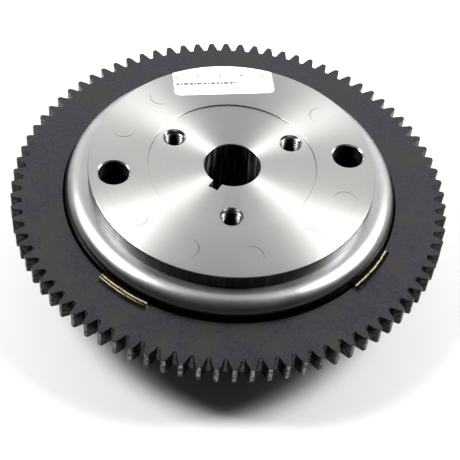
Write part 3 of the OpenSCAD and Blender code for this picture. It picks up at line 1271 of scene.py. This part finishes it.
@dataclass
class WeldBeads:
    """The two beads that hold the ring gear, each a chain of overlapping ripples."""

    gear: StarterGear
    count: int = 2
    arc: float = 18.5
    first_angle: float = 225.0
    step: float = 90.0
    crest_r: float = 83.7
    toe: float = 1.5
    rise: float = 1.3
    ripple_mm: float = 1.3
    ripple_low: float = 0.9
    end_share: float = 0.35
    rough_mm: float = 0.4
    sunk: float = 0.1

    def section(self) -> bpy.types.Mesh:
        """Draws the bead's closed section: a narrow crest, a groove and a low toe beside it.

        Returns:
            A mesh of edges alone, X outwards and Y up.
        """
        loop = rounded_loop([
            (-2.1, -1.3, 0), (-0.8, 0.35, 0.3), (-0.3, 0.65, 0.2), (0.3, 0.65, 0.2), (0.75, 0.1, 0.1),
            (1.05, -0.35, 0.15), (1.35, -0.2, 0.1), (self.toe + 0.2, -0.2, 0.1), (2.0, -1.3, 0),
        ])
        mesh = bpy.data.meshes.new("bead_section")
        edges = [(k, (k + 1) % len(loop)) for k in range(len(loop))]
        mesh.from_pydata([(x, z, 0) for x, z in loop], edges, [])
        return mesh

    def tree(self) -> bpy.types.NodeTree:
        """Makes a tree that sweeps the section along the bead's arc, swells it in ripples and roughens it.

        Returns:
            The tree.
        """
        tree, given, result = new_tree("weld_bead", {
            "Geometry": "NodeSocketGeometry", "Crest Radius": "NodeSocketFloat", "Arc": "NodeSocketFloat",
            "Ripples": "NodeSocketFloat", "Height": "NodeSocketFloat", "Finish": "NodeSocketMaterial",
        })
        start = add_node(tree, "ShaderNodeMath", {"operation": "MULTIPLY"}, {0: given.outputs["Arc"], 1: -0.5})
        line = add_node(tree, "GeometryNodeCurveArc", {"mode": "RADIUS"}, {
            "Resolution": 160, "Radius": given.outputs["Crest Radius"], "Start Angle": start.outputs[0],
            "Sweep Angle": given.outputs["Arc"],
        })
        upright = add_node(tree, "GeometryNodeSetCurveNormal", {"mode": "Z_UP"}, {"Curve": line.outputs[0]})
        share = add_node(tree, "GeometryNodeSplineParameter").outputs["Factor"]
        bow = add_node(tree, "ShaderNodeMath", {"operation": "MULTIPLY"}, {0: share, 1: math.pi})
        ends = add_node(tree, "ShaderNodeMath", {"operation": "SINE"}, {0: bow.outputs[0]})
        taper = add_node(tree, "ShaderNodeMapRange", {"interpolation_type": "SMOOTHSTEP"}, {
            "Value": ends.outputs[0], "From Max": 0.2, "To Min": self.end_share,
        })
        phase = add_node(tree, "ShaderNodeMath", {"operation": "MULTIPLY"}, {
            0: share, 1: given.outputs["Ripples"],
        })
        saw = add_node(tree, "ShaderNodeMath", {"operation": "FRACT"}, {0: phase.outputs[0]})
        swell = add_node(tree, "ShaderNodeMapRange", {"interpolation_type": "SMOOTHSTEP"}, {
            "Value": saw.outputs[0], "To Min": self.ripple_low, "To Max": 1.0,
        })
        size = add_node(tree, "ShaderNodeMath", {"operation": "MULTIPLY"}, {
            0: taper.outputs[0], 1: swell.outputs[0],
        })
        swelled = add_node(tree, "GeometryNodeSetCurveRadius", inputs={
            "Curve": upright.outputs[0], "Radius": size.outputs[0],
        })
        outline = add_node(tree, "GeometryNodeMeshToCurve", inputs={"Mesh": given.outputs["Geometry"]})
        swept = add_node(tree, "GeometryNodeCurveToMesh", inputs={
            "Curve": swelled.outputs[0], "Profile Curve": outline.outputs[0], "Fill Caps": True,
        })
        noise = add_node(tree, "ShaderNodeTexNoise", inputs={"Scale": 0.9, "Detail": 2.0})
        shift = add_node(tree, "ShaderNodeMath", {"operation": "MULTIPLY_ADD"}, {
            0: noise.outputs[0], 1: self.rough_mm, 2: -self.rough_mm / 2,
        })
        normal = add_node(tree, "GeometryNodeInputNormal").outputs[0]
        push = add_node(tree, "ShaderNodeVectorMath", {"operation": "SCALE"}, {
            0: normal, "Scale": shift.outputs[0],
        })
        rough = add_node(tree, "GeometryNodeSetPosition", inputs={
            "Geometry": swept.outputs[0], "Offset": push.outputs[0],
        })
        lift_and_send(tree, given, result, rough.outputs[0], given.outputs["Height"])
        return tree

    def build(self) -> None:
        """Makes the beads."""
        length = math.radians(self.arc) * self.crest_r
        # Weld steel: painted straw-tinted highlights along the crest and toe, and painted dark shade beside
        # them.
        finish = WeldSteel("weld steel with painted highlights and shade", self.crest_r, self.crest_r + self.toe).make()
        build = bmesh.new()
        build.from_mesh(through_tree(self.section(), self.tree(), {
            "Crest Radius": self.crest_r, "Arc": math.radians(self.arc), "Ripples": length / self.ripple_mm,
            "Height": self.gear.top_z + self.rise / 2 - self.sunk, "Finish": finish,
        }))
        beads = through_tree(mesh_from(build, "bead"), copies_round_axis(), {
            "Places": self.count, "Gap": NO_GAP, "Step": math.radians(self.step),
            "First Angle": math.radians(self.first_angle), "Finish": finish,
        })
        piece("weld_beads", beads, Slot.WELD, finish, ("ring_gear_welds",), smooth_under=60)


@dataclass
class MagnetPack:
    """The arc magnets, the strips between them, the sleeve inside them and the ring that they stand against."""

    magnet_finish: bpy.types.Material
    sleeve_finish: bpy.types.Material
    strip_finish: bpy.types.Material
    seat_finish: bpy.types.Material
    count: int = 12
    gap: float = 3.0
    outer_r: float = 75.5
    magnet_t: float = 8.5
    low_z: float = bottom_of("magnet_1")
    high_z: float = top_of("magnet_1")
    sleeve_t: float = 0.5
    sleeve_low_z: float = bottom_of("magnet_retainer")
    seat_high_z: float = top_of("magnet_seat_ring")
    seat_corner_r: float = 3.0

    def bar(self, edge_r: float) -> list[Point]:
        """Draws the section that the magnets and the strips share.

        Args:
            edge_r: How far its edges are rounded.

        Returns:
            The closed outline as (radius, height).
        """
        inner = self.outer_r - self.magnet_t
        return rounded_loop([
            (inner, self.low_z, edge_r), (self.outer_r, self.low_z, edge_r),
            (self.outer_r, self.high_z, edge_r), (inner, self.high_z, edge_r),
        ])

    def build(self) -> None:
        """Makes every piece of the pack."""
        inner = self.outer_r - self.magnet_t
        step = FULL_TURN / self.count
        half = (step - math.radians(self.gap)) / 2
        for number in range(1, self.count + 1):
            middle = (number - 0.5) * step
            magnet = sweep("magnet", self.bar(0.5), middle - half, middle + half, 16)
            piece(f"arc_magnet_{number}", magnet, Slot.MAGNET, self.magnet_finish, (f"magnet_{number}",))
        strip_half = math.radians(self.gap / 2)
        strips = through_tree(
            sweep("strip", self.bar(0.2), -strip_half, strip_half, 4), copies_round_axis(),
            {"Places": self.count, "Gap": NO_GAP, "Step": step, "Finish": self.strip_finish},
        )
        piece("spacer_strips", strips, Slot.SPACER, self.strip_finish, ("magnet_spacers",))
        sleeve_r = inner - self.sleeve_t
        sleeve = revolve("sleeve", rounded_loop([
            (sleeve_r, self.sleeve_low_z, 0.6), (self.outer_r, self.sleeve_low_z, 0.1),
            (self.outer_r, self.low_z, 0.1), (inner, self.low_z, 0.1),
            (inner, self.seat_high_z, 0.1), (sleeve_r, self.seat_high_z, 0.1),
        ]), RING_SEGMENTS)
        piece("retainer_sleeve", sleeve, Slot.SHEET, self.sleeve_finish, ("magnet_retainer",))
        seat = revolve("seat", rounded_loop([
            (inner, self.high_z, 0.3), (self.outer_r, self.high_z, 0.3),
            (self.outer_r, self.seat_high_z, self.seat_corner_r), (inner, self.seat_high_z, 0.3),
        ]), RING_SEGMENTS)
        piece("magnet_seat", seat, Slot.SEAT, self.seat_finish, ("magnet_seat_ring",))


@dataclass(frozen=True)
class DashRow:
    """One row of plain dashes on the label, in millimetres, in the label's own frame."""

    out: float
    height: float
    first: float
    last: float
    spread: float
    gap: float
    shortest: float = 1.1

    def dashes(self) -> list[Point]:
        """Lays the row out.

        Returns:
            The start and the end of each dash.
        """
        found: list[Point] = []
        across = self.first
        while across < self.last:
            long = self.shortest + self.spread * (len(found) * 7 % 3)
            found.append((across, across + long))
            across += long + self.gap
        return found


@dataclass
class PaperLabel:
    """A blank stick-on label, laid on the flange and folded over its edge."""

    finish: bpy.types.Material
    ink: bpy.types.Material
    hub: Hub
    width: float = 51.5
    inner: float = 48.8
    fold: float = 5.0
    corner_r: float = 3.0
    turn: float = 87.2
    shift: float = -1.5
    thickness: float = 0.1
    ease: float = 0.5
    ink_lift: float = 0.04
    columns: int = 60

    def rows(self, across: float) -> list[Vector]:
        """Points of one strip of the label, from its inner edge over the flange's edge.

        Args:
            across: The strip's distance from the label's middle line.

        Returns:
            Points in the label's own frame, where X runs outwards from the axis.
        """
        side = across + self.shift
        past = max(0.0, abs(across) - (self.width / 2 - self.corner_r))
        trim = self.corner_r - math.sqrt(max(0.0, self.corner_r**2 - past**2))
        edge_r, face_z, ease = self.hub.flange_r, self.hub.face_z, self.ease
        flat_end = math.sqrt((edge_r - ease) ** 2 - side**2)
        flat_steps, bend_steps, fold_steps = 16, 4, 6
        points = []
        for k in range(flat_steps + 1):
            out = self.inner + trim + (flat_end - self.inner - trim) * k / flat_steps
            points.append(Vector((out, side, face_z)))
        way = math.atan2(side, flat_end)
        for k in range(1, bend_steps + 1):
            swing = math.radians(90 * k / bend_steps)
            radius = edge_r - ease + ease * math.sin(swing)
            points.append(Vector(polar(radius, way, face_z - ease + ease * math.cos(swing))))
        for k in range(1, fold_steps + 1):
            drop = (self.fold - ease - trim) * k / fold_steps
            points.append(Vector(polar(edge_r, way, face_z - ease - drop)))
        return points

    def sheet(self) -> bpy.types.Mesh:
        """Lays the paper, with its thickness on the outer side.

        Returns:
            The paper's closed mesh.
        """
        build = bmesh.new()
        half = self.width / 2
        lines = []
        for k in range(self.columns + 1):
            spread = math.sin(math.pi / 2 * (2 * k / self.columns - 1))
            lines.append([build.verts.new(p) for p in self.rows(half * spread)])
        for line, following in zip(lines, lines[1:]):
            for k in range(len(line) - 1):
                build.faces.new((line[k], line[k + 1], following[k + 1], following[k]))
        bmesh.ops.recalc_face_normals(build, faces=build.faces)
        if sum(face.normal.z for face in build.faces) < 0:
            bmesh.ops.reverse_faces(build, faces=build.faces)
        item = in_scene("paper", freed(build, "paper"))
        solid = item.modifiers.new("thickness", "SOLIDIFY")
        solid.thickness = self.thickness
        solid.offset = 1.0
        return worked_in(item)

    def dashes(self) -> bpy.types.Mesh:
        """Lays rows of plain dashes in place of print.

        Returns:
            Their flat mesh, just above the paper.
        """
        build = bmesh.new()
        z = self.hub.face_z + self.thickness + self.ink_lift
        for row in (
            DashRow(out=56.3, height=1.5, first=-8.0, last=21.5, spread=0.7, gap=0.5),
            DashRow(out=61.6, height=1.3, first=-23.0, last=24.0, spread=0.0, gap=10.2),
        ):
            near, far = row.out, row.out + row.height
            for start, end in row.dashes():
                corners = [(near, start), (near, end), (far, end), (far, start)]
                build.faces.new([build.verts.new((x, y, z)) for x, y in corners])
        return freed(build, "dashes")

    def build(self) -> None:
        """Makes the paper and its marks."""
        turn = Matrix.Rotation(math.radians(self.turn), 4, "Z")
        for name, mesh, finish, stands in (
            ("paper_label", self.sheet(), self.finish, ("part_label",)),
            ("label_marks", self.dashes(), self.ink, ()),
        ):
            mesh.transform(turn)
            piece(name, mesh, Slot.PAPER, finish, stands, smooth_under=50)


# ---------------------------------------------------------------- studio


def towards(azimuth: float, elevation: float) -> Vector:
    """Points away from the flywheel.

    Args:
        azimuth: Degrees round the axis, where 0 is -Y and 90 is +X.
        elevation: Degrees above the floor.

    Returns:
        A unit vector.
    """
    around, up = math.radians(azimuth), math.radians(elevation)
    return Vector((math.sin(around) * math.cos(up), -math.cos(around) * math.cos(up), math.sin(up)))


@dataclass(frozen=True)
class SoftBox:
    """A soft light, placed by its direction from the flywheel, in metres and degrees."""

    name: str
    azimuth: float
    elevation: float
    distance: float = 1.1
    width: float = 0.35
    height: float = 0.5
    watts: float = 2.25
    spread: float = 60.0

    def build(self, centre: Vector) -> None:
        """Makes the light.

        Args:
            centre: The point that it faces.
        """
        away = towards(self.azimuth, self.elevation)
        lamp = bpy.data.lights.new(self.name, "AREA")
        lamp.shape = "RECTANGLE"
        lamp.size, lamp.size_y = self.width, self.height
        lamp.energy = self.watts
        lamp.spread = math.radians(self.spread)
        item = in_scene(self.name, lamp)
        item.location = centre + away * self.distance
        item.rotation_mode = "QUATERNION"
        item.rotation_quaternion = (-away).to_track_quat("-Z", "Y")


@dataclass(frozen=True)
class Glow:
    """How the room's light grows from one side of it to the other."""

    rise: float
    low: float
    high: float
    darkest: float
    brightest: float

    def share(
        self, tree: bpy.types.NodeTree, direction: bpy.types.NodeSocket, azimuth: float
    ) -> bpy.types.NodeSocket:
        """Measures the light from each direction.

        Args:
            tree: The world's tree.
            direction: The direction looked in.
            azimuth: Where the camera stands, in degrees.

        Returns:
            The strength, from darkest to brightest.
        """
        around = math.radians(azimuth)
        along = add_node(tree, "ShaderNodeVectorMath", {"operation": "DOT_PRODUCT"}, {
            0: direction, 1: (-math.sin(around), math.cos(around), self.rise),
        })
        return add_node(tree, "ShaderNodeMapRange", {"interpolation_type": "SMOOTHSTEP"}, {
            "Value": along.outputs["Value"], "From Min": self.low, "From Max": self.high,
            "To Min": self.darkest, "To Max": self.brightest,
        }).outputs[0]


@dataclass
class Studio:
    """Pale floor, soft lights and the camera, in millimetres and degrees."""

    azimuth: float = -13.1
    elevation: float = 49.77
    roll: float = 5.6
    distance: float = 583.1
    aim_right: float = 1.98
    aim_near: float = 27.24
    aim_z: float = top_of("ring_gear")
    lens: float = 94.5
    front_light: float = 0.015
    top_light: float = 0.42
    back_light: float = 1.15
    floor_half_m: float = 6.0
    floor_tone: str = "#DEDEDE"

    def camera(self) -> None:
        """Makes the camera."""
        around = math.radians(self.azimuth)
        back = towards(self.azimuth, self.elevation)
        right = Vector((math.cos(around), math.sin(around), 0))
        near = Vector((math.sin(around), -math.cos(around), 0))
        aim = (right * self.aim_right + near * self.aim_near + Vector((0, 0, self.aim_z))) * MM
        data = bpy.data.cameras.new("camera")
        data.lens = self.lens
        data.clip_start, data.clip_end = 0.01, 20.0
        item = in_scene("camera", data)
        item.location = aim + back * self.distance * MM
        item.rotation_mode = "QUATERNION"
        level = (-back).to_track_quat("-Z", "Y")
        item.rotation_quaternion = level @ Quaternion((0, 0, 1), math.radians(self.roll))
        bpy.context.scene.camera = item

    def floor(self) -> None:
        """Makes the floor, a wide matte sheet."""
        build = bmesh.new()
        bmesh.ops.create_grid(build, x_segments=2, y_segments=2, size=self.floor_half_m)
        mesh = freed(build, "floor")
        # A sweep of matte card: white under the lights, without any shine of its own.
        material = bpy.data.materials.new("matte white sweep")
        material.use_nodes = True
        shader = material.node_tree.nodes["Principled BSDF"]
        shader.inputs["Base Color"].default_value = linear(self.floor_tone)
        shader.inputs["Roughness"].default_value = 0.9
        shader.inputs["Specular IOR Level"].default_value = 0.0
        mesh.materials.append(material)
        in_scene("floor", mesh)

    def lights(self) -> None:
        """Makes the room's light, brightest low behind the flywheel and dark in front, and the soft boxes."""
        world = bpy.data.worlds.new("studio")
        bpy.context.scene.world = world
        world.use_nodes = True
        tree = world.node_tree
        direction = add_node(tree, "ShaderNodeTexCoord").outputs["Generated"]
        far_half = Glow(rise=0.3, low=0.0, high=0.45, darkest=0.0, brightest=1.0)
        low_back = Glow(rise=0.0, low=0.5, high=0.78, darkest=self.top_light, brightest=self.back_light)
        strength = add_node(tree, "ShaderNodeMath", {"operation": "MULTIPLY_ADD"}, {
            0: far_half.share(tree, direction, self.azimuth), 1: low_back.share(tree, direction, self.azimuth),
            2: self.front_light,
        })
        background = tree.nodes["Background"]
        background.inputs["Color"].default_value = (1, 1, 1, 1)
        tree.links.new(strength.outputs[0], background.inputs["Strength"])
        centre = Vector((0, 0, self.aim_z * MM))
        SoftBox("left_box", self.azimuth - 95, 48).build(centre)
        SoftBox("right_box", self.azimuth + 105, 44).build(centre)

    def build(self) -> None:
        """Sets the whole scene up."""
        self.camera()
        self.floor()
        self.lights()
        bpy.context.scene.view_settings.view_transform = "Standard"


def main() -> None:
    """Builds every sub-assembly in order."""
    logging.basicConfig(level=logging.INFO, format="%(name)s: %(message)s")
    # Steel faced on a lathe: bright, and each light is drawn out into a fan across its rings.
    turned = TurnedSteel("lathe-turned steel").make()
    # Steel cut by a tap, painted darker than the turned steel as shade inside the holes: grey thread crests,
    # and walls painted near black as shade.
    tapped = Mottled(
        "tapped steel", light="#666664", dark="#343432", upright="#0A0A0A", span=(0.35, 0.85), tint_share=0.0,
    ).make()
    # Steel drawn in a press and polished: a soft mirror with a faint straw cast; its upright faces, low on the
    # shoulder and on the skirt, are painted near black as shade and dark reflection.
    drawn = Mottled(
        "polished drawn steel", light="#CACACC", dark="#C2C2C4", tint="#B4AC9E", tint_share=0.35,
        upright="#1E1E1C", span=(0.3, 0.85), roughness=0.3, rough_spread=0.03, grain_mm=2.5, bump_mm=0.004,
    ).make()
    # Cut steel blackened in a hot bath: blue-grey with brown patches, rubbed bright on the teeth's edges; its
    # upright faces, the tooth flanks and the bore, are painted near black as shade.
    oxide = Mottled(
        "black oxide steel", light="#53525A", dark="#424148", tint="#4D4B44", tint_share=0.8, patch_mm=20,
        upright="#0E0E10", worn="#8A8A88", grain_mm=1.6, bump_mm=0.02, roughness=0.32, rough_spread=0.06,
    ).make()
    # Ferrite pressed and fired: a dull, near-black stone with hardly any metal sheen.
    ferrite = Mottled(
        "sintered ferrite", light="#3B3B3D", dark="#2C2C2E", tint="#333338", roughness=0.55, metallic=0.2,
    ).make()
    # Stainless sheet, rolled and drawn: bright and even.
    sheet = Mottled(
        "drawn stainless sheet", light="#BDBDBB", dark="#A3A3A1", tint_share=0.1, roughness=0.32,
    ).make()
    # Moulded nylon: black, with a half-dull skin.
    nylon = Mottled(
        "moulded nylon", light="#1E1E1F", dark="#161617", tint_share=0.0, roughness=0.5, metallic=0.0,
    ).make()
    # Cut aluminium: paler and softer in its shine than the steel round it.
    aluminium = Mottled(
        "cut aluminium", light="#C8C9CB", dark="#B0B1B3", tint_share=0.05, roughness=0.38,
    ).make()
    # Coated paper: clean white with a dull shine.
    paper = Mottled(
        "coated label paper", light="#F4F4F3", dark="#EEEEED", tint="#EAEAE8", roughness=0.6, metallic=0.0,
        grain_mm=0.4, bump_mm=0.005,
    ).make()
    # Ink printed on the paper: plain grey and flat.
    ink = Mottled(
        "grey print", light="#666666", dark="#444444", tint_share=0.0, roughness=0.7, metallic=0.0,
    ).make()

    Studio().build()
    hub = Hub(turned, tapped)
    hub.build()
    RotorCup(drawn, hub).build()
    Rivets(turned, hub).build()
    gear = StarterGear(oxide)
    gear.build()
    WeldBeads(gear).build()
    MagnetPack(ferrite, sheet, nylon, aluminium).build()
    PaperLabel(paper, ink, hub).build()


if __name__ == "__main__":
    main()
